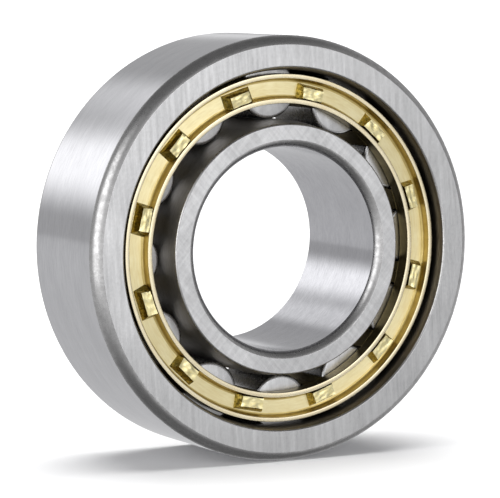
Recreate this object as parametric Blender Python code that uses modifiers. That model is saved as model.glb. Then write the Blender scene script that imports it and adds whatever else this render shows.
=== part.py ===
"""Cylindrical roller bearing, 25 x 52 x 18 mm, with a flangeless inner ring and a riveted brass cage.

World frame: metres, origin at the bearing's centre, the axis along Y, the front face towards -Y,
+Z up. Every piece is modelled about its own +Z axis, and a parent empty turns that axis to the
front. Seen from the front, local X points right and local Y points up.
"""

import math

import bmesh
import bpy
from mathutils import Matrix

MM = 0.001

# Boundary dimensions of the bearing.
BORE_DIAMETER = 25 * MM
OUTER_DIAMETER = 52 * MM
WIDTH = 18 * MM

# Rollers, and the play that lets them run.
ROLLER_COUNT = 12
ROLLER_DIAMETER = 7.5 * MM
ROLLER_LENGTH = 11 * MM
ROLLER_CORNER = 0.5 * MM
PITCH_RADIUS = 19.5 * MM
RADIAL_PLAY = 0.05 * MM
FLANGE_PLAY = 0.05 * MM
POCKET_PLAY = 0.15 * MM

# Outer ring: each corner is (radial size, axial size).
FLANGE_BORE_RADIUS = 21.8 * MM
OUTER_CORNER = (1.14 * MM, 1.48 * MM)
FLANGE_CORNER = (0.53 * MM, 0.5 * MM)

# Inner ring.
BORE_CORNER = (0.85 * MM, 0.95 * MM)
LEAD_IN = (0.6 * MM, 1.0 * MM)

# Cage. Its two side rings have the same section radii and stand equally far from the centre.
CAGE_OUTER_RADIUS = 21.3 * MM
CAGE_INNER_RADIUS = 17.7 * MM
CAGE_HALF_WIDTH = 7.6 * MM
CAGE_EDGE = 0.15 * MM
OUTER_RIM_WIDTH = 0.55 * MM
INNER_RIM_WIDTH = 0.6 * MM
RECESS_DEPTH = 1.1 * MM
RECESS_WALL = 0.1 * MM
CAGE_TURN = 2.5

# Tenons, which hold the end plate on the bars: (along the rim, radially).
TENON_RADIUS = 19.45 * MM
TENON_NECK = (1.9 * MM, 1.1 * MM)
TENON_HEAD_BASE = (3.9 * MM, 1.7 * MM)
TENON_HEAD_TOP = (2.6 * MM, 1.25 * MM)
TENON_HEAD_HEIGHT = 1.05 * MM
TENON_OVERLAP = 0.2 * MM
SLOT_GAP = 0.2 * MM
HEAD_GAP = 0.2 * MM
SHOULDER_GAP = 0.3 * MM

# Facets around a full turn. A flat side of each ring faces straight down.
RING_STEPS = 72
CAGE_STEPS = 60
ROLLER_STEPS = 40
CORNER_BULGE = 0.35
MERGE_DISTANCE = 0.00001
SHARP_ANGLE = 20

FRONT = WIDTH / 2
ROLLER_RADIUS = ROLLER_DIAMETER / 2
POCKET_RADIUS = ROLLER_RADIUS + POCKET_PLAY
POCKET_END = ROLLER_LENGTH / 2 + POCKET_PLAY
BAR_END = POCKET_END - SHOULDER_GAP
RECESS_FLOOR = CAGE_HALF_WIDTH - RECESS_DEPTH
HEAD_SEAT = RECESS_FLOOR + HEAD_GAP


def clear_scene():
    for obj in list(bpy.data.objects):
        bpy.data.objects.remove(obj, do_unlink=True)


def new_collection(name):
    collection = bpy.data.collections.new(name)
    bpy.context.scene.collection.children.link(collection)
    return collection


def metal(name, colour, roughness):
    material = bpy.data.materials.new(name)
    material.use_nodes = True
    shader = material.node_tree.nodes["Principled BSDF"]
    shader.inputs["Base Color"].default_value = (*colour, 1)
    shader.inputs["Metallic"].default_value = 1
    shader.inputs["Roughness"].default_value = roughness
    return material


def ground_steel():
    return metal("ground_steel", (0.60, 0.60, 0.61), 0.32)


def roller_steel():
    return metal("roller_steel", (0.70, 0.70, 0.72), 0.15)


def machined_brass():
    return metal("machined_brass", (0.80, 0.66, 0.36), 0.30)


def corner_point(face_point, side_point):
    """The middle point of a corner that bulges a little beyond a straight chamfer."""
    (face_radius, face_z), (side_radius, side_z) = face_point, side_point
    middle_radius = (face_radius + side_radius) / 2
    middle_z = (face_z + side_z) / 2
    return (
        middle_radius + CORNER_BULGE * (side_radius - middle_radius),
        middle_z + CORNER_BULGE * (face_z - middle_z),
    )


def mirrored(front_half):
    """The front half of an outline, followed by the same points at the back in reverse order."""
    return front_half + [(radius, -z) for radius, z in reversed(front_half)]


def place(obj, collection, parent, material=None):
    collection.objects.link(obj)
    obj.parent = parent
    if material:
        obj.data.materials.append(material)
    return obj


def turned(name, outline, steps, closed=True):
    """An object turned about Z from an outline of (radius, z) points, whose flats touch those radii."""
    half_step = math.pi / steps
    reach = 1 / math.cos(half_step)
    points = [
        (radius * reach * math.cos(half_step), radius * reach * math.sin(half_step), z)
        for radius, z in outline
    ]
    edges = [(index, index + 1) for index in range(len(points) - 1)]
    if closed:
        edges.append((len(points) - 1, 0))
    mesh = bpy.data.meshes.new(name)
    mesh.from_pydata(points, edges, [])
    obj = bpy.data.objects.new(name, mesh)
    screw = obj.modifiers.new("turn", "SCREW")
    screw.steps = steps
    screw.render_steps = steps
    screw.use_merge_vertices = True
    screw.merge_threshold = MERGE_DISTANCE
    return obj


def tapered_box(bm, placement, low, high, base_size, top_size):
    """A block from z = low to z = high, base_size (x, y) at its foot and top_size at its top."""
    made = bmesh.ops.create_cube(bm, size=1)["verts"]
    for vert in made:
        at_top = vert.co.z > 0
        size_x, size_y = top_size if at_top else base_size
        vert.co.x *= size_x
        vert.co.y *= size_y
        vert.co.z = high if at_top else low
    bmesh.ops.transform(bm, matrix=placement, verts=made)


def around_axis(radius, degrees):
    """A matrix that puts a shape at a radius, with its Y pointing outwards, degrees round from up."""
    turn = Matrix.Rotation(math.radians(degrees), 4, "Z")
    return turn @ Matrix.Translation((0, radius, 0))


def roller_angles():
    return [index * 360 / ROLLER_COUNT for index in range(ROLLER_COUNT)]


def bar_angles():
    half_pitch = 180 / ROLLER_COUNT
    return [angle + half_pitch for angle in roller_angles()]


def helper(name, bm, collection, parent):
    """A cutter or another Boolean operand, kept out of the render."""
    mesh = bpy.data.meshes.new(name)
    bm.to_mesh(mesh)
    bm.free()
    obj = place(bpy.data.objects.new(name, mesh), collection, parent)
    obj.hide_render = True
    obj.display_type = "WIRE"
    return obj


def tenon_blocks(name, collection, parent, low, high, base_size, top_size):
    """Twelve equal blocks, one over each bar."""
    bm = bmesh.new()
    for angle in bar_angles():
        tapered_box(bm, around_axis(TENON_RADIUS, angle), low, high, base_size, top_size)
    return helper(name, bm, collection, parent)


def pocket_cutter(collection, parent):
    """Twelve cylinders that run from the rear side ring out through the bars' front ends."""
    bm = bmesh.new()
    length = WIDTH
    reach = 1 / math.cos(math.pi / ROLLER_STEPS)
    for angle in roller_angles():
        centre = Matrix.Translation((0, 0, length / 2 - POCKET_END))
        bmesh.ops.create_cone(
            bm,
            cap_ends=True,
            segments=ROLLER_STEPS,
            radius1=POCKET_RADIUS * reach,
            radius2=POCKET_RADIUS * reach,
            depth=length,
            matrix=around_axis(PITCH_RADIUS, angle) @ centre,
        )
    return helper("pocket_cutter", bm, collection, parent)


def boolean(obj, operation, other):
    modifier = obj.modifiers.new(other.name, "BOOLEAN")
    modifier.operation = operation
    modifier.solver = "EXACT"
    modifier.object = other


def shade(obj):
    """Applies the object's modifiers, then shades it smooth with its real edges kept sharp."""
    bpy.context.view_layer.update()
    graph = bpy.context.evaluated_depsgraph_get()
    mesh = bpy.data.meshes.new_from_object(obj.evaluated_get(graph))
    mesh.name = obj.name
    obj.modifiers.clear()
    obj.data = mesh
    mesh.shade_smooth()
    mesh.set_sharp_from_angle(angle=math.radians(SHARP_ANGLE))
    return obj


def outer_ring_outline():
    outer = OUTER_DIAMETER / 2
    raceway = PITCH_RADIUS + ROLLER_RADIUS + RADIAL_PLAY
    flange_face = ROLLER_LENGTH / 2 + FLANGE_PLAY
    rim_face = (outer - OUTER_CORNER[0], FRONT)
    rim_side = (outer, FRONT - OUTER_CORNER[1])
    inside = [
        (raceway, flange_face),
        (FLANGE_BORE_RADIUS, flange_face),
        (FLANGE_BORE_RADIUS, FRONT - FLANGE_CORNER[1]),
        (FLANGE_BORE_RADIUS + FLANGE_CORNER[0], FRONT),
    ]
    return mirrored(inside + [rim_face, corner_point(rim_face, rim_side), rim_side])


def inner_ring_outline():
    bore = BORE_DIAMETER / 2
    raceway = PITCH_RADIUS - ROLLER_RADIUS - RADIAL_PLAY
    bore_side = (bore, FRONT - BORE_CORNER[1])
    bore_face = (bore + BORE_CORNER[0], FRONT)
    raceway_face = (raceway - LEAD_IN[0], FRONT)
    raceway_side = (raceway, FRONT - LEAD_IN[1])
    return mirrored(
        [
            bore_side,
            corner_point(bore_face, bore_side),
            bore_face,
            raceway_face,
            corner_point(raceway_face, raceway_side),
            raceway_side,
        ]
    )


def roller_outline():
    half = ROLLER_LENGTH / 2
    return [
        (0, half),
        (ROLLER_RADIUS - ROLLER_CORNER, half),
        (ROLLER_RADIUS, half - ROLLER_CORNER),
        (ROLLER_RADIUS, ROLLER_CORNER - half),
        (ROLLER_RADIUS - ROLLER_CORNER, -half),
        (0, -half),
    ]


def cage_body_outline():
    """The turned blank of the bars and the rear side ring."""
    return [
        (CAGE_OUTER_RADIUS, BAR_END),
        (CAGE_OUTER_RADIUS, CAGE_EDGE - CAGE_HALF_WIDTH),
        (CAGE_OUTER_RADIUS - CAGE_EDGE, -CAGE_HALF_WIDTH),
        (CAGE_INNER_RADIUS + CAGE_EDGE, -CAGE_HALF_WIDTH),
        (CAGE_INNER_RADIUS, CAGE_EDGE - CAGE_HALF_WIDTH),
        (CAGE_INNER_RADIUS, BAR_END),
    ]


def end_plate_outline():
    """A flat ring with a recess between two rims in its front face."""
    outer_wall = CAGE_OUTER_RADIUS - OUTER_RIM_WIDTH
    inner_wall = CAGE_INNER_RADIUS + INNER_RIM_WIDTH
    return [
        (CAGE_OUTER_RADIUS - CAGE_EDGE, CAGE_HALF_WIDTH),
        (CAGE_OUTER_RADIUS, CAGE_HALF_WIDTH - CAGE_EDGE),
        (CAGE_OUTER_RADIUS, POCKET_END),
        (CAGE_INNER_RADIUS, POCKET_END),
        (CAGE_INNER_RADIUS, CAGE_HALF_WIDTH - CAGE_EDGE),
        (CAGE_INNER_RADIUS + CAGE_EDGE, CAGE_HALF_WIDTH),
        (inner_wall, CAGE_HALF_WIDTH),
        (inner_wall + RECESS_WALL, RECESS_FLOOR),
        (outer_wall - RECESS_WALL, RECESS_FLOOR),
        (outer_wall, CAGE_HALF_WIDTH),
    ]


def make_cage_body(parts, cutters, parent, material):
    body = place(turned("cage_body", cage_body_outline(), CAGE_STEPS), parts, parent, material)
    root = BAR_END - TENON_OVERLAP
    neck_top = HEAD_SEAT + TENON_OVERLAP
    head_top = HEAD_SEAT + TENON_HEAD_HEIGHT
    necks = tenon_blocks("tenon_necks", cutters, parent, root, neck_top, TENON_NECK, TENON_NECK)
    heads = tenon_blocks(
        "tenon_heads", cutters, parent, HEAD_SEAT, head_top, TENON_HEAD_BASE, TENON_HEAD_TOP
    )
    boolean(body, "DIFFERENCE", pocket_cutter(cutters, parent))
    boolean(body, "UNION", necks)
    boolean(body, "UNION", heads)
    return shade(body)


def make_end_plate(parts, cutters, parent, material):
    outline = end_plate_outline()
    plate = place(turned("cage_end_plate", outline, CAGE_STEPS), parts, parent, material)
    slot = tuple(size + 2 * SLOT_GAP for size in TENON_NECK)
    slots = tenon_blocks("slot_cutter", cutters, parent, 0, WIDTH, slot, slot)
    boolean(plate, "DIFFERENCE", slots)
    return shade(plate)


def make_ring(name, outline, parts, parent, material):
    return shade(place(turned(name, outline, RING_STEPS), parts, parent, material))


def make_rollers(parts, parent, material):
    """One roller turned at the origin, then a copy of it in each pocket, all sharing its mesh."""
    turned_roller = turned("roller_01", roller_outline(), ROLLER_STEPS, closed=False)
    first = shade(place(turned_roller, parts, parent, material))
    for index, angle in enumerate(roller_angles()):
        roller = first
        if index > 0:
            roller = first.copy()
            roller.name = f"roller_{index + 1:02d}"
            parts.objects.link(roller)
        roller.location = around_axis(PITCH_RADIUS, angle).translation


def main():
    clear_scene()
    parts = new_collection("cylindrical_roller_bearing")
    cutters = new_collection("cutters")
    steel = ground_steel()
    brass = machined_brass()

    bearing = place(bpy.data.objects.new("bearing_axis", None), parts, None)
    bearing.rotation_euler.x = math.radians(90)
    cage = place(bpy.data.objects.new("cage_axis", None), parts, bearing)
    cage.rotation_euler.z = math.radians(CAGE_TURN)

    make_ring("outer_ring", outer_ring_outline(), parts, bearing, steel)
    make_ring("inner_ring", inner_ring_outline(), parts, bearing, steel)
    make_cage_body(parts, cutters, cage, brass)
    make_end_plate(parts, cutters, cage, brass)
    make_rollers(parts, cage, roller_steel())


main()
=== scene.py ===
"""Looks of a cylindrical roller bearing: two ground steel rings, twelve rollers, a riveted brass cage.

World frame: metres, origin at the bearing's centre, axis along Y, front face towards -Y, +Z up.
Outlines are (radius, height) points in millimetres, where height runs along the axis to the front.
"""

import math
import random

import bmesh
import bpy
from mathutils import Matrix, Vector, noise


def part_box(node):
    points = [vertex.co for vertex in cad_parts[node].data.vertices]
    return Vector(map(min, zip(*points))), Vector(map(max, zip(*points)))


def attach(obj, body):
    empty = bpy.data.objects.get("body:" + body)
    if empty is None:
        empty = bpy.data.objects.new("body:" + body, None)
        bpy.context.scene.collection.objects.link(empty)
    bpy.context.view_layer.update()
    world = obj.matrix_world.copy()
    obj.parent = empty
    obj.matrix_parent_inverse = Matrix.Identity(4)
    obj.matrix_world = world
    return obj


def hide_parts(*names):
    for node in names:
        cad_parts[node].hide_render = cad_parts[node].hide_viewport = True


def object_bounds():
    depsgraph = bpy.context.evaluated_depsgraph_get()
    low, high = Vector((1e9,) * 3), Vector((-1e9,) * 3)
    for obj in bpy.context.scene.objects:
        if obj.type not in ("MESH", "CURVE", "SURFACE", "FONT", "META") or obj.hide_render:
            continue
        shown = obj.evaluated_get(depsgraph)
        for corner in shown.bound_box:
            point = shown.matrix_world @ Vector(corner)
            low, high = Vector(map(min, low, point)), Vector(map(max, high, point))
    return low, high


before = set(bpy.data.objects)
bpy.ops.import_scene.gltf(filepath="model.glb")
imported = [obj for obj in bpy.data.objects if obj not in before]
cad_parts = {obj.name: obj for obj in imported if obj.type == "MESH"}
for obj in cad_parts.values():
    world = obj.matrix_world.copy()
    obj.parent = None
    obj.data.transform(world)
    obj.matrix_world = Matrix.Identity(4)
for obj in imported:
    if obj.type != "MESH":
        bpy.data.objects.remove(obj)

CAD_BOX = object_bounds()
MM = 0.001

# Camera: the direction it stands in, and how far from the point it looks at.
VIEW_AZIMUTH = -28.07
VIEW_ELEVATION = 5.24
VIEW_DISTANCE = 379.2
AIM_DEPTH = -0.613
AIM_ACROSS = -0.720
AIM_UP = -0.612
LENS = 220.4
SENSOR = 36

# Floor, and the sun that lights only the floor: strength, and angles in degrees.
FLOOR_HALF_SIDE = 6
FLOOR_GREY = 0.9
SUN_STRENGTH = 3.4
SUN_WIDTH = 58
SUN_TILT = (-9, 6, 0)

# Mesh fineness.
RING_STEPS = 240
ROLLER_STEPS = 96
EDGE_STEPS = 3
CAGE_EDGE_STEPS = 4
CORNER_STEPS = 8
ROLLER_CORNER_STEPS = 5

# Edges sharper than these many degrees stay sharp in the shading, and corners duller stay unrounded.
SHARP_ANGLE = 35
HEAD_SHARP_ANGLE = 50
ROUNDED_ANGLE = 20

# Ring details that the CAD model simplifies. A corner is (radial size, axial size).
SKIN = 0.01
OUTER_CORNER = (1.14, 1.48)
FLANGE_CORNER = (0.2, 0.2)
FLANGE_TAPER = (0.3, 0.9)
BORE_CORNER = (0.85, 0.95)
LEAD_IN = (0.38, 3.4)
LEAD_EDGE = (0.22, 0.25)
OUTER_CORNER_BOW = 0.247
BORE_CORNER_BOW = 0.13
FLANGE_EDGE_BOW = 0.03
LEAD_EDGE_BOW = 0.044
FLANGE_BORE = 21.8
BORE = 12.5
PLAY = 0.05
EDGE_BREAK = 0.07

# Undercut where the outer raceway meets a flange: its length, and how deep it cuts into the raceway.
UNDERCUT = 0.35
UNDERCUT_DEPTH = 0.12
UNDERCUT_WALL = 0.1
FLANGE_LIP = 0.05

# Rollers.
ROLLER_CORNER = 0.45

# Cage.
RIM_OUTER = 0.55
RIM_INNER = 0.6
RECESS_DEPTH = 1.1
RECESS_WALL = 0.08
RECESS_FILLET = 0.35
CAGE_BREAK = 0.12
POCKET_PLAY = 0.15
PLATE_BACK = 5.65
PLATE_SEAM = 0.01
TENON_RADIUS = 19.45
NECK = (1.9, 1.1)
SLOT_PLAY = 0.05
SLOT_DEPTH = 4

# Tenon heads, hammered over the plate: half lengths along the rim, and radial reach either side.
HEAD_HALF_FOOT = 1.92
HEAD_HALF_TOP = 1.42
HEAD_FOOT_OUT = 0.72
HEAD_FOOT_IN = 1.10
HEAD_TOP_OUT = 0.28
HEAD_TOP_IN = 1.00
HEAD_HEIGHT = 1.20
HEAD_SINK = 0.02
HEAD_SCATTER = 0.17
HEAD_RADIAL_SCATTER = 0.07
HEAD_TOP_SCATTER = 0.05
HEAD_CUTS = 9
HEAD_SEED = 11

# Skin of a tenon head: dents, and creases that run along the axis. Grains to a millimetre, and depths.
DENTS_PER_MM = 1.9
CREASES_PER_MM = (4.2, 0.9, 4.2)
CREASE_OFFSET = (7, 3, 1)
WRINKLE_DEPTH = 0.07
WRINKLE_CLIMB = 1.5

STUDIO_TINT = (0.985, 0.985, 1.0)

# Brightness of the studio by elevation in degrees, away from the soft boxes.
ROOM_LIGHT = [
    (-90, 0.22), (-60, 0.18), (-48, 0.26), (-38, 0.40), (-29, 0.60), (-6, 0.64), (-2.6, 0.62),
    (-1.2, 0.47), (28, 0.46), (40, 0.30), (52, 0.17), (90, 0.17),
]

# Soft boxes: azimuth from +Y towards +X, elevation, half width, half height, soft edge, brightness.
SOFT_BOXES = [
    (-23, 16.5, 10, 8, 11, 1.0),
    (-5, 29, 9, 4, 11, 0.6),
    (28, 8, 8, 3, 9, 0.35),
    (50, -3, 13, 14, 14, 0.32),
    (-104, 13, 22, 26, 18, 1.9),
    (170, 14, 20, 20, 23, 1.7),
    (150, -6, 40, 14, 20, -0.28),
    (152, -40, 45, 12, 16, 0.6),
    (216, -1, 18, 18, 14, 0.55),
]


# ---------------------------------------------------------------- sizes read from the frame

def box_mm(node):
    low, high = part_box(node)
    return low / MM, high / MM


RING_LOW, RING_HIGH = box_mm("outer_ring")
OUTER = -RING_LOW.z - SKIN
FRONT = RING_HIGH.y - SKIN
CAGE_HALF = -box_mm("cage_end_plate")[0].y
CAGE_OUTER = 21.3
CAGE_INNER = 17.7
ROLLER_NAMES = sorted(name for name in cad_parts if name.startswith("roller_"))
ROLLER_LOW, ROLLER_HIGH = box_mm(ROLLER_NAMES[0])
ROLLER_HALF = (ROLLER_HIGH.y - ROLLER_LOW.y) / 2
ROLLER_RADIUS = 3.75
FIRST_ROLLER = (ROLLER_LOW + ROLLER_HIGH) / 2
PITCH = math.hypot(FIRST_ROLLER.x, FIRST_ROLLER.z)
FIRST_ANGLE = math.atan2(FIRST_ROLLER.z, FIRST_ROLLER.x)
SPACING = 2 * math.pi / len(ROLLER_NAMES)


# ---------------------------------------------------------------- node helpers

def node(tree, kind, inputs=None, **settings):
    made = tree.nodes.new(kind)
    for name, value in settings.items():
        setattr(made, name, value)
    for key, value in (inputs or {}).items():
        socket = made.inputs[key]
        if isinstance(value, bpy.types.NodeSocket):
            tree.links.new(value, socket)
        else:
            socket.default_value = value
    return made


def calc(tree, operation, *values):
    return node(tree, "ShaderNodeMath", dict(enumerate(values)), operation=operation).outputs[0]


def remap(tree, value, low, high, to_low, to_high, smooth=False):
    made = node(
        tree,
        "ShaderNodeMapRange",
        {"Value": value, "From Min": low, "From Max": high, "To Min": to_low, "To Max": to_high},
        interpolation_type="SMOOTHSTEP" if smooth else "LINEAR",
    )
    return made.outputs["Result"]


def pack(tree, x, y, z):
    return node(tree, "ShaderNodeCombineXYZ", {"X": x, "Y": y, "Z": z}).outputs[0]


def mix_colour(tree, factor, first, second):
    made = node(tree, "ShaderNodeMix", data_type="RGBA")
    colours = [socket for socket in made.inputs if socket.type == "RGBA"]
    for socket, value in zip([made.inputs[0], *colours], [factor, first, second]):
        if isinstance(value, bpy.types.NodeSocket):
            tree.links.new(value, socket)
        else:
            socket.default_value = value
    return [socket for socket in made.outputs if socket.type == "RGBA"][0]


def speckle(tree, vector, scale=1, detail=3, roughness=0.5):
    """Noise of about 0 to 1, in a space where one unit is one grain."""
    settings = {"Vector": vector, "Scale": scale, "Detail": detail, "Roughness": roughness}
    return node(tree, "ShaderNodeTexNoise", settings).outputs["Fac"]


class Place:
    """A surface point's own place in millimetres: x, y, z, and its radius and direction about Y."""

    def __init__(self, tree):
        self.tree = tree
        objects = node(tree, "ShaderNodeTexCoord").outputs["Object"]
        scaled = node(tree, "ShaderNodeVectorMath", {0: objects, 3: 1 / MM}, operation="SCALE")
        parts = node(tree, "ShaderNodeSeparateXYZ", {0: scaled.outputs[0]})
        self.point = scaled.outputs[0]
        self.x, self.y, self.z = parts.outputs
        self.radius = calc(
            tree, "SQRT", calc(tree, "ADD", calc(tree, "MULTIPLY", self.x, self.x),
                               calc(tree, "MULTIPLY", self.z, self.z))
        )
        self.side = calc(tree, "DIVIDE", self.x, calc(tree, "MAXIMUM", self.radius, 0.01))
        self.rise = calc(tree, "DIVIDE", self.z, calc(tree, "MAXIMUM", self.radius, 0.01))

    def ring_marks(self, across, per_mm, around):
        """Space for marks that run round the axis: fine across them, and long round the ring."""
        tree = self.tree
        return pack(
            tree,
            calc(tree, "MULTIPLY", self.side, around),
            calc(tree, "MULTIPLY", across, per_mm),
            calc(tree, "MULTIPLY", self.rise, around),
        )

    def straight_marks(self, degrees, per_mm, along_per_mm):
        """Space for straight marks on a face, leaning by some degrees from upright."""
        tree = self.tree
        turn = math.radians(degrees)
        across = calc(tree, "ADD", calc(tree, "MULTIPLY", self.x, math.cos(turn) * per_mm),
                      calc(tree, "MULTIPLY", self.z, math.sin(turn) * per_mm))
        rise = calc(tree, "MULTIPLY", self.z, math.cos(turn) * along_per_mm)
        drift = calc(tree, "MULTIPLY", self.x, math.sin(turn) * along_per_mm)
        along = calc(tree, "SUBTRACT", rise, drift)
        return pack(tree, across, self.y, along)


def new_metal(name):
    material = bpy.data.materials.new(name)
    material.use_nodes = True
    shader = material.node_tree.nodes["Principled BSDF"]
    shader.inputs["Metallic"].default_value = 1
    return material, material.node_tree, shader


def finish_metal(tree, shader, colour, roughness, height, depth_mm):
    """Links the parts of a metal that vary. depth_mm is how far the height map reaches."""
    reach = {"Height": height, "Distance": depth_mm * MM, "Strength": 1.0}
    bump = node(tree, "ShaderNodeBump", reach)
    tree.links.new(colour, shader.inputs["Base Color"])
    tree.links.new(roughness, shader.inputs["Roughness"])
    tree.links.new(bump.outputs[0], shader.inputs["Normal"])


def tint(tree, shade, low, high, dark, light):
    """Dark where the shade is at its low, light where it is at its high."""
    return mix_colour(tree, remap(tree, shade, low, high, 0, 1), dark, light)


def polish(tree, shade, roughness, swing):
    """A roughness that falls by the swing where the shade is light, and rises where it is dark."""
    return remap(tree, shade, 0.3, 0.7, roughness + swing, roughness - swing)


def total(tree, *pairs):
    """The weighted sum of some values: (value, weight), ..."""
    result = 0.0
    for value, weight in pairs:
        result = calc(tree, "MULTIPLY_ADD", value, weight, result)
    return result


# ---------------------------------------------------------------- materials

def ground_face(name, dark, light, roughness, marks):
    """A flat ground steel face. marks are (lean in degrees, weight) of its straight scratches."""
    material, tree, shader = new_metal(name)
    place = Place(tree)
    lines = total(tree, *[
        (speckle(tree, place.straight_marks(lean, 1.7, 0.10), 1, 4, 0.65), weight)
        for lean, weight in marks
    ])
    blotch = speckle(tree, place.point, 0.16, 2)
    fine = speckle(tree, place.point, 2.6, 3, 0.7)
    shade = total(tree, (lines, 0.62), (blotch, 0.22), (fine, 0.16))
    colour = tint(tree, shade, 0.36, 0.64, dark, light)
    relief = total(tree, (lines, 0.7), (fine, 0.3))
    finish_metal(tree, shader, colour, polish(tree, shade, roughness, 0.05), relief, 0.004)
    return material


def ground_round(name, dark, light, roughness, around=7):
    """A ground cylinder, whose fine marks run round it."""
    material, tree, shader = new_metal(name)
    place = Place(tree)
    lines = speckle(tree, place.ring_marks(place.y, 4.5, around * 2.2), 1, 4, 0.6)
    bands = speckle(tree, place.ring_marks(place.y, 0.6, around * 0.5), 1, 2)
    shade = total(tree, (lines, 0.6), (bands, 0.4))
    colour = tint(tree, shade, 0.38, 0.62, dark, light)
    finish_metal(tree, shader, colour, polish(tree, lines, roughness, 0.04), lines, 0.0016)
    return material


def turned_corner(name, dark, light, roughness):
    """A corner left as turned and heat treated: mottled, with faint feed marks."""
    material, tree, shader = new_metal(name)
    place = Place(tree)
    mottle = speckle(tree, place.point, 1.5, 5, 0.7)
    lines = speckle(tree, place.ring_marks(place.y, 6.0, 30), 1, 3)
    shade = total(tree, (mottle, 0.75), (lines, 0.25))
    colour = tint(tree, shade, 0.36, 0.64, dark, light)
    finish_metal(tree, shader, colour, polish(tree, mottle, roughness, 0.1), shade, 0.006)
    return material


def turned_brass(name, dark, light, roughness, spread):
    """Machined brass: rings of feed marks that spread its reflections, with a few darker smears."""
    material, tree, shader = new_metal(name)
    place = Place(tree)
    lines = speckle(tree, place.ring_marks(place.radius, 5, 14), 1, 4, 0.65)
    smear = speckle(tree, place.ring_marks(place.radius, 0.5, 5), 1, 4, 0.7)
    shade = total(tree, (lines, 0.5), (smear, 0.5))
    colour = tint(tree, shade, 0.34, 0.6, dark, light)
    finish_metal(tree, shader, colour, polish(tree, lines, roughness, 0.06), lines, 0.004)
    spread_across_rings(tree, shader, spread)
    return material


def spread_across_rings(tree, shader, spread):
    """Fine rings about Y spread a reflection across them, so towards and away from the axis."""
    around = node(tree, "ShaderNodeTangent", direction_type="RADIAL", axis="Y")
    tree.links.new(around.outputs[0], shader.inputs["Tangent"])
    shader.inputs["Anisotropic"].default_value = spread
    shader.inputs["Anisotropic Rotation"].default_value = 0.25


def hammered_brass(name, dark, light, roughness, depth_mm):
    """Brass worked by a punch: short streaks and dents."""
    material, tree, shader = new_metal(name)
    place = Place(tree)
    dents = speckle(tree, place.point, 2.2, 4, 0.7)
    upright = pack(
        tree,
        calc(tree, "MULTIPLY", place.x, 6.0),
        calc(tree, "MULTIPLY", place.y, 0.8),
        calc(tree, "MULTIPLY", place.z, 6.0),
    )
    streaks = speckle(tree, upright, 1, 3, 0.7)
    shade = total(tree, (dents, 0.5), (streaks, 0.5))
    colour = tint(tree, shade, 0.38, 0.66, dark, light)
    finish_metal(tree, shader, colour, polish(tree, dents, roughness, 0.08), shade, depth_mm)
    return material


def grey(level, warmth=0.0):
    return level + warmth, level, level - warmth


def make_materials():
    made = {}
    for finish, metals in METALS.items():
        for kind, (name, dark, light, *settings) in metals.items():
            made[kind] = finish(name, (*dark, 1), (*light, 1), *settings)
    return made


# Each metal: its name, its darkest and lightest colour and its roughness, then what the finish needs.
METALS = {
    # and the lean in degrees and weight of each set of scratches
    ground_face: {
        "outer_face": ("outer_ring_face", grey(0.50), grey(0.76), 0.21, [(4, 0.8), (-22, 0.2)]),
        "inner_face": ("inner_ring_face", grey(0.50), grey(0.88), 0.30, [(42, 0.5), (-40, 0.5)]),
        "roller_end": ("roller_end", grey(0.50), grey(0.74), 0.30, [(8, 0.7), (-60, 0.3)]),
    },
    # and how many marks lie round the ring, where it isn't the usual number
    ground_round: {
        "outside": ("ring_outside", (0.60, 0.60, 0.615), (0.68, 0.68, 0.695), 0.09),
        # The bore's steel is a little darker than the outside's: painted shade inside the hole.
        "bore": ("ring_bore_painted_shade", (0.54, 0.54, 0.56), (0.62, 0.62, 0.64), 0.12),
        "raceway": ("ring_raceway", grey(0.46, 0.015), grey(0.56, 0.015), 0.46),
        # The flange's steel is set far darker than the other ground steel: painted shade for the
        # hollow inside the outer ring.
        "flange": ("ring_flange_painted_shade", grey(0.11, 0.012), grey(0.19, 0.012), 0.42),
        "roller_side": ("roller_side", grey(0.40), grey(0.50), 0.28, 4),
    },
    turned_corner: {
        "corner": ("ring_corner", grey(0.40, 0.004), grey(0.57, 0.004), 0.30),
    },
    # and how far the feed marks spread reflections
    turned_brass: {
        "recess": ("cage_recess", (0.87, 0.74, 0.39), (1.0, 0.90, 0.55), 0.34, 0.6),
        "rim": ("cage_rim", (0.94, 0.80, 0.51), (1.0, 0.91, 0.66), 0.26, 0.2),
        # The recess's fillets: the recess brass made darker and browner, as painted shade in the
        # groove.
        "groove_painted_shade": ("cage_groove", (0.52, 0.39, 0.13), (0.70, 0.56, 0.23), 0.34, 0.6),
        # The cage's walls and the plate's back: brass set nearly black as painted shade between the
        # rings and rollers.
        "cage_wall_painted_shade": ("cage_wall_painted_shade", (0.22, 0.17, 0.06), (0.34, 0.27, 0.11), 0.32, 0.6),
    },
    # and the depth in millimetres of the punch marks
    hammered_brass: {
        "head_top": ("tenon_head_top", (0.92, 0.78, 0.36), (1.0, 0.94, 0.60), 0.32, 0.015),
        # The heads' sides and feet: the tops' brass painted far darker as painted shade, streaked by
        # the punch marks.
        "head_side_painted_shade": ("tenon_head_side", (0.10, 0.08, 0.012), (0.62, 0.50, 0.16), 0.30, 0.05),
    },
}


# ---------------------------------------------------------------- mesh helpers

def bow(start, end, sagitta, steps):
    """Points of a shallow arc from start up to, but not including, end. It bulges to its left."""
    (r0, h0), (r1, h1) = start, end
    length = math.hypot(r1 - r0, h1 - h0)
    across = ((h0 - h1) / length, (r1 - r0) / length)
    points = []
    for index in range(steps):
        t = index / steps
        lift = 4 * t * (1 - t) * sagitta
        radius = r0 + t * (r1 - r0) + lift * across[0]
        points.append((radius, h0 + t * (h1 - h0) + lift * across[1]))
    return points


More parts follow.
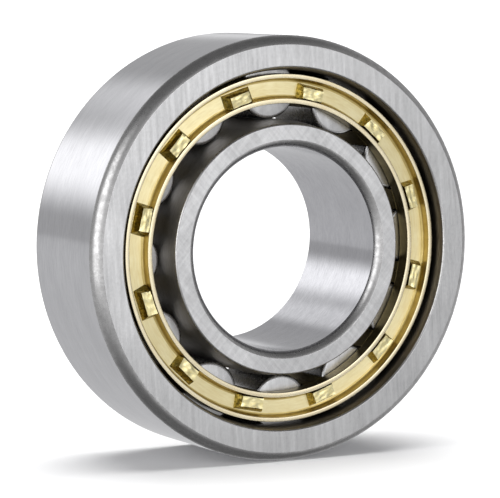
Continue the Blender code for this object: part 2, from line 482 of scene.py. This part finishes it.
def rounded(points, radius, steps=EDGE_STEPS):
    """A closed outline of (radius, height, material) points whose corners get an arc of that radius.

    A point's material is that of the stretch that starts at it. Corners that turn less than
    ROUNDED_ANGLE stay as they are."""
    made = []
    count = len(points)
    for index, (r, h, material) in enumerate(points):
        here = Vector((r, h))
        back = Vector(points[index - 1][:2]) - here
        ahead = Vector(points[(index + 1) % count][:2]) - here
        turn = math.pi - back.angle(ahead)
        if turn < math.radians(ROUNDED_ANGLE):
            made.append((r, h, material))
            continue
        cut = min(radius * math.tan(turn / 2), back.length * 0.4, ahead.length * 0.4)
        first = here + back.normalized() * cut
        last = here + ahead.normalized() * cut
        for step in range(steps + 1):
            t = step / steps
            point = first * (1 - t) ** 2 + here * 2 * t * (1 - t) + last * t**2
            kind = points[index - 1][2] if t < 0.5 else material
            made.append((point.x, point.y, kind))
    return made


def at(radius, angle, height):
    """The world place of a point about the bearing's axis, in metres."""
    return Vector((radius * math.cos(angle), -height, radius * math.sin(angle))) * MM


def turned(name, outline, steps, materials):
    """A mesh turned about Y from a closed outline of (radius, height, material)."""
    used = list(dict.fromkeys(kind for _, _, kind in outline))
    bm = bmesh.new()
    turns = [2 * math.pi * k / steps for k in range(steps)]
    rings = []
    for radius, height, _ in outline:
        if radius == 0:
            rings.append([bm.verts.new(at(0, 0, height))] * steps)
        else:
            rings.append([bm.verts.new(at(radius, turn, height)) for turn in turns])
    for index, (_, _, kind) in enumerate(outline):
        near, far = rings[index], rings[(index + 1) % len(rings)]
        for k in range(steps):
            corners = [near[k], near[(k + 1) % steps], far[(k + 1) % steps], far[k]]
            corners = list(dict.fromkeys(corners))
            if len(corners) > 2:
                bm.faces.new(corners).material_index = used.index(kind)
    bmesh.ops.recalc_face_normals(bm, faces=bm.faces)
    mesh = bpy.data.meshes.new(name)
    bm.to_mesh(mesh)
    bm.free()
    for kind in used:
        mesh.materials.append(materials[kind])
    return mesh


def show(name, mesh, body, replaced=None, location=None, sharp=SHARP_ANGLE):
    """Puts a piece in the scene, shaded by its face areas, on its body."""
    mesh.shade_smooth()
    mesh.set_sharp_from_angle(angle=math.radians(sharp))
    piece = bpy.data.objects.new(name, mesh)
    bpy.context.scene.collection.objects.link(piece)
    if location is not None:
        piece.location = location
    weighted = piece.modifiers.new("weighted", "WEIGHTED_NORMAL")
    weighted.keep_sharp = True
    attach(piece, body)
    if replaced:
        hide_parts(replaced)


def cut_away(mesh, cutter):
    """The mesh with the cutter mesh taken away by an exact Boolean."""
    first = bpy.data.objects.new("operand", mesh)
    second = bpy.data.objects.new("cutter", cutter)
    for obj in (first, second):
        bpy.context.scene.collection.objects.link(obj)
    modifier = first.modifiers.new("cut", "BOOLEAN")
    modifier.operation = "DIFFERENCE"
    modifier.solver = "EXACT"
    modifier.object = second
    bpy.context.view_layer.update()
    graph = bpy.context.evaluated_depsgraph_get()
    result = bpy.data.meshes.new_from_object(first.evaluated_get(graph))
    bpy.data.objects.remove(first)
    bpy.data.objects.remove(second)
    return result


def about_bearing(radius, angle, height):
    """A matrix whose X runs along the rim, Y points outwards and Z points to the front."""
    outwards = Vector((math.cos(angle), 0, math.sin(angle)))
    front = Vector((0, -1, 0))
    along = outwards.cross(front)
    matrix = Matrix((along, outwards, front)).transposed().to_4x4()
    matrix.translation = at(radius, angle, height)
    return matrix


# ---------------------------------------------------------------- rings

def with_kind(points, kind):
    return [(r, h, kind) for r, h in points]


def outer_ring_outline():
    raceway = PITCH + ROLLER_RADIUS + PLAY
    flange_face = ROLLER_HALF + PLAY
    face_edge = (OUTER - OUTER_CORNER[0], FRONT)
    side_edge = (OUTER, FRONT - OUTER_CORNER[1])
    taper_end = FLANGE_BORE + FLANGE_TAPER[0]
    bore_edge = (taper_end, FRONT - FLANGE_CORNER[1])
    bore_face = (taper_end + FLANGE_CORNER[0], FRONT)
    # The raceway's undercut, the flange's side and the flange's bore take the flange steel, which is
    # darkened as painted shade.
    front_half = (
        [
            (raceway, flange_face - UNDERCUT, "flange"),
            (raceway + UNDERCUT_DEPTH, flange_face - UNDERCUT_WALL, "flange"),
            (raceway - FLANGE_LIP, flange_face, "flange"),
            (FLANGE_BORE, flange_face, "flange"),
        ]
        + [(FLANGE_BORE, FRONT - FLANGE_CORNER[1] - FLANGE_TAPER[1], "flange")]
        + with_kind(bow(bore_edge, bore_face, FLANGE_EDGE_BOW, EDGE_STEPS), "corner")
        + [(*bore_face, "outer_face")]
        + with_kind(bow(face_edge, side_edge, OUTER_CORNER_BOW, CORNER_STEPS), "corner")
        + [(*side_edge, "outside")]
    )
    return mirror_outline(front_half, "outside", "raceway")


def mirror_outline(front_half, middle_kind, closing_kind):
    """The front half, then the same points at the back, with each stretch's material kept."""
    kinds = [kind for _, _, kind in front_half]
    back = []
    for index in reversed(range(len(front_half))):
        radius, height, _ = front_half[index]
        kind = kinds[index - 1] if index else closing_kind
        back.append((radius, -height, kind))
    joined = front_half[:-1] + [(*front_half[-1][:2], middle_kind)] + back
    return rounded(joined, EDGE_BREAK)


def inner_ring_outline():
    raceway = PITCH - ROLLER_RADIUS - PLAY
    bore_side = (BORE, FRONT - BORE_CORNER[1])
    bore_face = (BORE + BORE_CORNER[0], FRONT)
    race_face = (raceway - LEAD_IN[0] - LEAD_EDGE[0], FRONT)
    lead_edge = (race_face[0] + LEAD_EDGE[0], FRONT - LEAD_EDGE[1])
    race_side = (raceway, FRONT - LEAD_IN[1])
    front_half = (
        with_kind(bow(bore_side, bore_face, BORE_CORNER_BOW, CORNER_STEPS), "corner")
        + [(*bore_face, "inner_face")]
        + with_kind(bow(race_face, lead_edge, LEAD_EDGE_BOW, EDGE_STEPS), "corner")
        + [(*lead_edge, "raceway"), (*race_side, "raceway")]
    )
    # The bore takes the bore steel, which is set darker as painted shade.
    return mirror_outline(front_half, "raceway", "bore")


# ---------------------------------------------------------------- rollers

def roller_outline():
    """From the middle of the front end to the middle of the back end, with rounded corners."""
    flat = ROLLER_RADIUS - ROLLER_CORNER
    straight = ROLLER_HALF - ROLLER_CORNER
    front = []
    for step in range(ROLLER_CORNER_STEPS + 1):
        turn = math.pi / 2 * step / ROLLER_CORNER_STEPS
        point = (flat + ROLLER_CORNER * math.sin(turn), straight + ROLLER_CORNER * math.cos(turn))
        front.append((*point, "roller_side"))
    half = [(0, ROLLER_HALF, "roller_end"), (flat * 0.5, ROLLER_HALF, "roller_end")] + front
    back = [(r, -h, kind) for r, h, kind in reversed(half)]
    back[-3] = (*back[-3][:2], "roller_end")
    back[-2] = (*back[-2][:2], "roller_end")
    return half + back


def make_rollers(materials):
    mesh = turned("roller", roller_outline(), ROLLER_STEPS, materials)
    for name in ROLLER_NAMES:
        low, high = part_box(name)
        show(f"{name}_fine", mesh, name, name, (low + high) / 2)


# ---------------------------------------------------------------- cage

def recess_fillet(wall_foot, floor, towards):
    """A hollow quarter from a recess wall to its floor. towards is +1 if the floor lies outwards."""
    points = []
    for step in range(CORNER_STEPS + 1):
        turn = math.pi / 2 * step / CORNER_STEPS
        radius = wall_foot + towards * RECESS_FILLET * (1 - math.cos(turn))
        points.append((radius, floor + RECESS_FILLET * (1 - math.sin(turn))))
    return points


def plate_outline():
    outer_wall = CAGE_OUTER - RIM_OUTER
    inner_wall = CAGE_INNER + RIM_INNER
    floor = CAGE_HALF - RECESS_DEPTH
    inner_fillet = recess_fillet(inner_wall + RECESS_WALL, floor, 1)
    outer_fillet = recess_fillet(outer_wall - RECESS_WALL, floor, -1)
    # The fillets between the recess floor and its walls take the groove brass, which is darkened as
    # painted shade.
    return rounded(
        [
            (CAGE_OUTER, CAGE_HALF, "cage_wall_painted_shade"),
            (CAGE_OUTER, PLATE_BACK, "cage_wall_painted_shade"),
            (CAGE_INNER, PLATE_BACK, "cage_wall_painted_shade"),
            (CAGE_INNER, CAGE_HALF, "rim"),
            (inner_wall, CAGE_HALF, "groove_painted_shade"),
        ]
        + with_kind(inner_fillet[:-1], "groove_painted_shade")
        + [(*inner_fillet[-1], "recess")]
        + with_kind(reversed(outer_fillet), "groove_painted_shade")
        + [(outer_wall, CAGE_HALF, "rim")],
        CAGE_BREAK,
        CAGE_EDGE_STEPS,
    )


def body_outline():
    end = PLATE_BACK - PLATE_SEAM
    # The cage's walls take the brass that is darkened as painted shade.
    return rounded([
        (CAGE_OUTER, end, "cage_wall_painted_shade"),
        (CAGE_OUTER, -CAGE_HALF, "rim"),
        (CAGE_INNER, -CAGE_HALF, "cage_wall_painted_shade"),
        (CAGE_INNER, end, "cage_wall_painted_shade"),
    ], CAGE_BREAK, CAGE_EDGE_STEPS)


def cylinder_mesh(name, places, radius, depth, segments):
    """Equal cylinders, each standing on the front-facing axis of its matrix."""
    bm = bmesh.new()
    for matrix in places:
        bmesh.ops.create_cone(
            bm, cap_ends=True, segments=segments, radius1=radius, radius2=radius, depth=depth,
            matrix=matrix,
        )
    mesh = bpy.data.meshes.new(name)
    bm.to_mesh(mesh)
    bm.free()
    return mesh


def block_mesh(name, places, size):
    bm = bmesh.new()
    for matrix in places:
        bmesh.ops.create_cube(bm, size=1, matrix=matrix @ Matrix.Diagonal((*size, 1)))
    mesh = bpy.data.meshes.new(name)
    bm.to_mesh(mesh)
    bm.free()
    return mesh


def make_cage(materials):
    bars = [FIRST_ANGLE + (index + 0.5) * SPACING for index in range(len(ROLLER_NAMES))]
    rollers = [FIRST_ANGLE + index * SPACING for index in range(len(ROLLER_NAMES))]
    reach = 2 * FRONT
    middle = -ROLLER_HALF - POCKET_PLAY + reach / 2
    blank = turned("cage_body_fine", body_outline(), RING_STEPS, materials)
    pockets = cylinder_mesh(
        "pockets",
        [about_bearing(PITCH, angle, middle) for angle in rollers],
        (ROLLER_RADIUS + POCKET_PLAY) * MM,
        reach * MM,
        ROLLER_STEPS,
    )
    show("cage_body_fine", cut_away(blank, pockets), "cage", "cage_body")
    plate = turned("cage_end_plate_fine", plate_outline(), RING_STEPS, materials)
    slots = block_mesh(
        "slots",
        [about_bearing(TENON_RADIUS, angle, CAGE_HALF - RECESS_DEPTH) for angle in bars],
        [(side + 2 * SLOT_PLAY) * MM for side in NECK] + [SLOT_DEPTH * MM],
    )
    show("cage_end_plate_fine", cut_away(plate, slots), "cage", "cage_end_plate")
    dice = random.Random(HEAD_SEED)
    for index, angle in enumerate(bars):
        make_tenon_head(f"tenon_head_{index + 1:02d}", angle, dice, materials)


def make_tenon_head(name, angle, dice, materials):
    """One bar's end, hammered over the plate: a lopsided block with a wrinkled skin."""
    def scatter(amount):
        return dice.uniform(-amount, amount)

    foot = CAGE_HALF - RECESS_DEPTH - HEAD_SINK
    top = foot + HEAD_HEIGHT
    corners = []
    for height, half, inwards, outwards in (
        (foot, HEAD_HALF_FOOT, HEAD_FOOT_IN, HEAD_FOOT_OUT),
        (top, HEAD_HALF_TOP, HEAD_TOP_IN, HEAD_TOP_OUT),
    ):
        for x, y in ((-half, -inwards), (half, -inwards), (half, outwards), (-half, outwards)):
            lift = scatter(HEAD_TOP_SCATTER) if height == top else 0
            along = x + scatter(HEAD_SCATTER)
            corners.append(Vector((along, y + scatter(HEAD_RADIAL_SCATTER), height + lift)) * MM)
    bm = bmesh.new()
    verts = [bm.verts.new(corner) for corner in corners]
    top_face, foot_face = (4, 5, 6, 7), (3, 2, 1, 0)
    sides = [(0, 1, 5, 4), (1, 2, 6, 5), (2, 3, 7, 6), (3, 0, 4, 7)]
    faces = [bm.faces.new([verts[k] for k in ring]) for ring in (top_face, foot_face, *sides)]
    # The sides and the foot take the side brass, which is painted shade.
    for face in faces[1:]:
        face.material_index = 1
    bmesh.ops.recalc_face_normals(bm, faces=bm.faces)
    bmesh.ops.subdivide_edges(bm, edges=bm.edges[:], cuts=HEAD_CUTS, use_grid_fill=True)
    bm.normal_update()
    matrix = about_bearing(TENON_RADIUS, angle, 0)
    wrinkle(bm, matrix, top * MM)
    bm.transform(matrix)
    mesh = bpy.data.meshes.new(name)
    bm.to_mesh(mesh)
    bm.free()
    for kind in ("head_top", "head_side_painted_shade"):
        mesh.materials.append(materials[kind])
    show(name, mesh, "cage", sharp=HEAD_SHARP_ANGLE)


def wrinkle(bm, matrix, top):
    """Dents and creases in a head's skin, fading out towards its foot."""
    moves = []
    for vert in bm.verts:
        place = (matrix @ vert.co) / MM
        dents = noise.noise(place * DENTS_PER_MM)
        creases = noise.noise(place * Vector(CREASES_PER_MM) + Vector(CREASE_OFFSET))
        climb = 1 + (vert.co.z - top) / (HEAD_HEIGHT * MM)
        amount = WRINKLE_DEPTH * (dents + creases) * min(1, max(0, climb * WRINKLE_CLIMB))
        moves.append(vert.normal * amount * MM)
    for vert, move in zip(bm.verts, moves):
        vert.co += move


# ---------------------------------------------------------------- stage, light and camera

def camera_axes():
    azimuth, elevation = math.radians(VIEW_AZIMUTH), math.radians(VIEW_ELEVATION)
    level = math.cos(elevation)
    back = Vector((math.sin(azimuth) * level, -math.cos(azimuth) * level, math.sin(elevation)))
    right = Vector((math.cos(azimuth), math.sin(azimuth), 0))
    return back, right, back.cross(right)


def make_camera():
    back, right, up = camera_axes()
    target = Vector((0, AIM_DEPTH, 0)) + right * AIM_ACROSS + up * AIM_UP
    data = bpy.data.cameras.new("camera")
    data.lens = LENS
    data.sensor_width = SENSOR
    data.clip_start = 0.01
    data.clip_end = 20
    camera = bpy.data.objects.new("camera", data)
    camera.matrix_world = Matrix((right, up, back)).transposed().to_4x4()
    camera.location = (target + back * VIEW_DISTANCE) * MM
    bpy.context.scene.collection.objects.link(camera)
    bpy.context.scene.camera = camera


def make_floor():
    bm = bmesh.new()
    bmesh.ops.create_grid(bm, x_segments=4, y_segments=4, size=FLOOR_HALF_SIDE)
    mesh = bpy.data.meshes.new("floor")
    bm.to_mesh(mesh)
    bm.free()
    floor = bpy.data.objects.new("floor", mesh)
    floor.location.z = CAD_BOX[0].z
    bpy.context.scene.collection.objects.link(floor)
    material = bpy.data.materials.new("floor")
    material.use_nodes = True
    shader = material.node_tree.nodes["Principled BSDF"]
    shader.inputs["Base Color"].default_value = (FLOOR_GREY, FLOOR_GREY, FLOOR_GREY, 1)
    shader.inputs["Roughness"].default_value = 1
    shader.inputs["Specular IOR Level"].default_value = 0
    mesh.materials.append(material)
    floor.visible_glossy = False


def make_sun():
    """Light from above for the floor, which the metal doesn't mirror."""
    data = bpy.data.lights.new("overhead", "SUN")
    data.energy = SUN_STRENGTH
    data.angle = math.radians(SUN_WIDTH)
    sun = bpy.data.objects.new("overhead", data)
    sun.rotation_euler = [math.radians(angle) for angle in SUN_TILT]
    sun.visible_glossy = False
    bpy.context.scene.collection.objects.link(sun)


def make_world():
    """A white room for the camera, and for reflections a studio of soft boxes over a grey floor."""
    world = bpy.data.worlds.new("studio")
    world.use_nodes = True
    tree = world.node_tree
    tree.nodes.clear()
    direction = node(tree, "ShaderNodeTexCoord").outputs["Generated"]
    parts = node(tree, "ShaderNodeSeparateXYZ", {0: direction})
    x, y, z = parts.outputs
    azimuth = calc(tree, "ARCTAN2", x, y)
    elevation = calc(tree, "ARCSINE", z)
    light = elevation_ramp(tree, elevation)
    for box in SOFT_BOXES:
        light = calc(tree, "ADD", light, soft_box(tree, azimuth, elevation, *box))
    studio = node(tree, "ShaderNodeBackground", {"Strength": light, "Color": (*STUDIO_TINT, 1)})
    white = node(tree, "ShaderNodeBackground", {"Strength": 1.0, "Color": (1, 1, 1, 1)})
    camera_ray = node(tree, "ShaderNodeLightPath").outputs["Is Camera Ray"]
    choice = {0: camera_ray, 1: studio.outputs[0], 2: white.outputs[0]}
    mix = node(tree, "ShaderNodeMixShader", choice)
    output = node(tree, "ShaderNodeOutputWorld")
    tree.links.new(mix.outputs[0], output.inputs[0])
    bpy.context.scene.world = world


def elevation_ramp(tree, elevation):
    degrees = calc(tree, "DEGREES", elevation)
    ramp = node(tree, "ShaderNodeValToRGB", {0: remap(tree, degrees, -90, 90, 0, 1)})
    ramp.color_ramp.interpolation = "EASE"
    stops = ramp.color_ramp.elements
    while len(stops) < len(ROOM_LIGHT):
        stops.new(0.5)
    for stop, (angle, level) in zip(stops, ROOM_LIGHT):
        stop.position = (angle + 90) / 180
        stop.color = (level, level, level, 1)
    return ramp.outputs["Color"]


def soft_box(tree, azimuth, elevation, towards, rise, half_width, half_height, edge, strength):
    def within(offset, half):
        outer, inner = math.radians(half + edge / 2), math.radians(half - edge / 2)
        return remap(tree, offset, outer, inner, 0, 1, smooth=True)

    turn = calc(tree, "COSINE", calc(tree, "SUBTRACT", azimuth, math.radians(towards)))
    across = calc(tree, "ARCCOSINE", turn)
    upwards = calc(tree, "ABSOLUTE", calc(tree, "SUBTRACT", elevation, math.radians(rise)))
    share = calc(tree, "MULTIPLY", within(across, half_width), within(upwards, half_height))
    return calc(tree, "MULTIPLY", share, strength)


# ---------------------------------------------------------------- the scene

def main():
    materials = make_materials()
    show("outer_ring_fine", turned("outer_ring_fine", outer_ring_outline(), RING_STEPS, materials),
         "outer_ring", "outer_ring")
    show("inner_ring_fine", turned("inner_ring_fine", inner_ring_outline(), RING_STEPS, materials),
         "inner_ring", "inner_ring")
    make_rollers(materials)
    make_cage(materials)
    make_camera()
    make_floor()
    make_sun()
    make_world()
    bpy.context.scene.view_settings.view_transform = "Standard"


main()
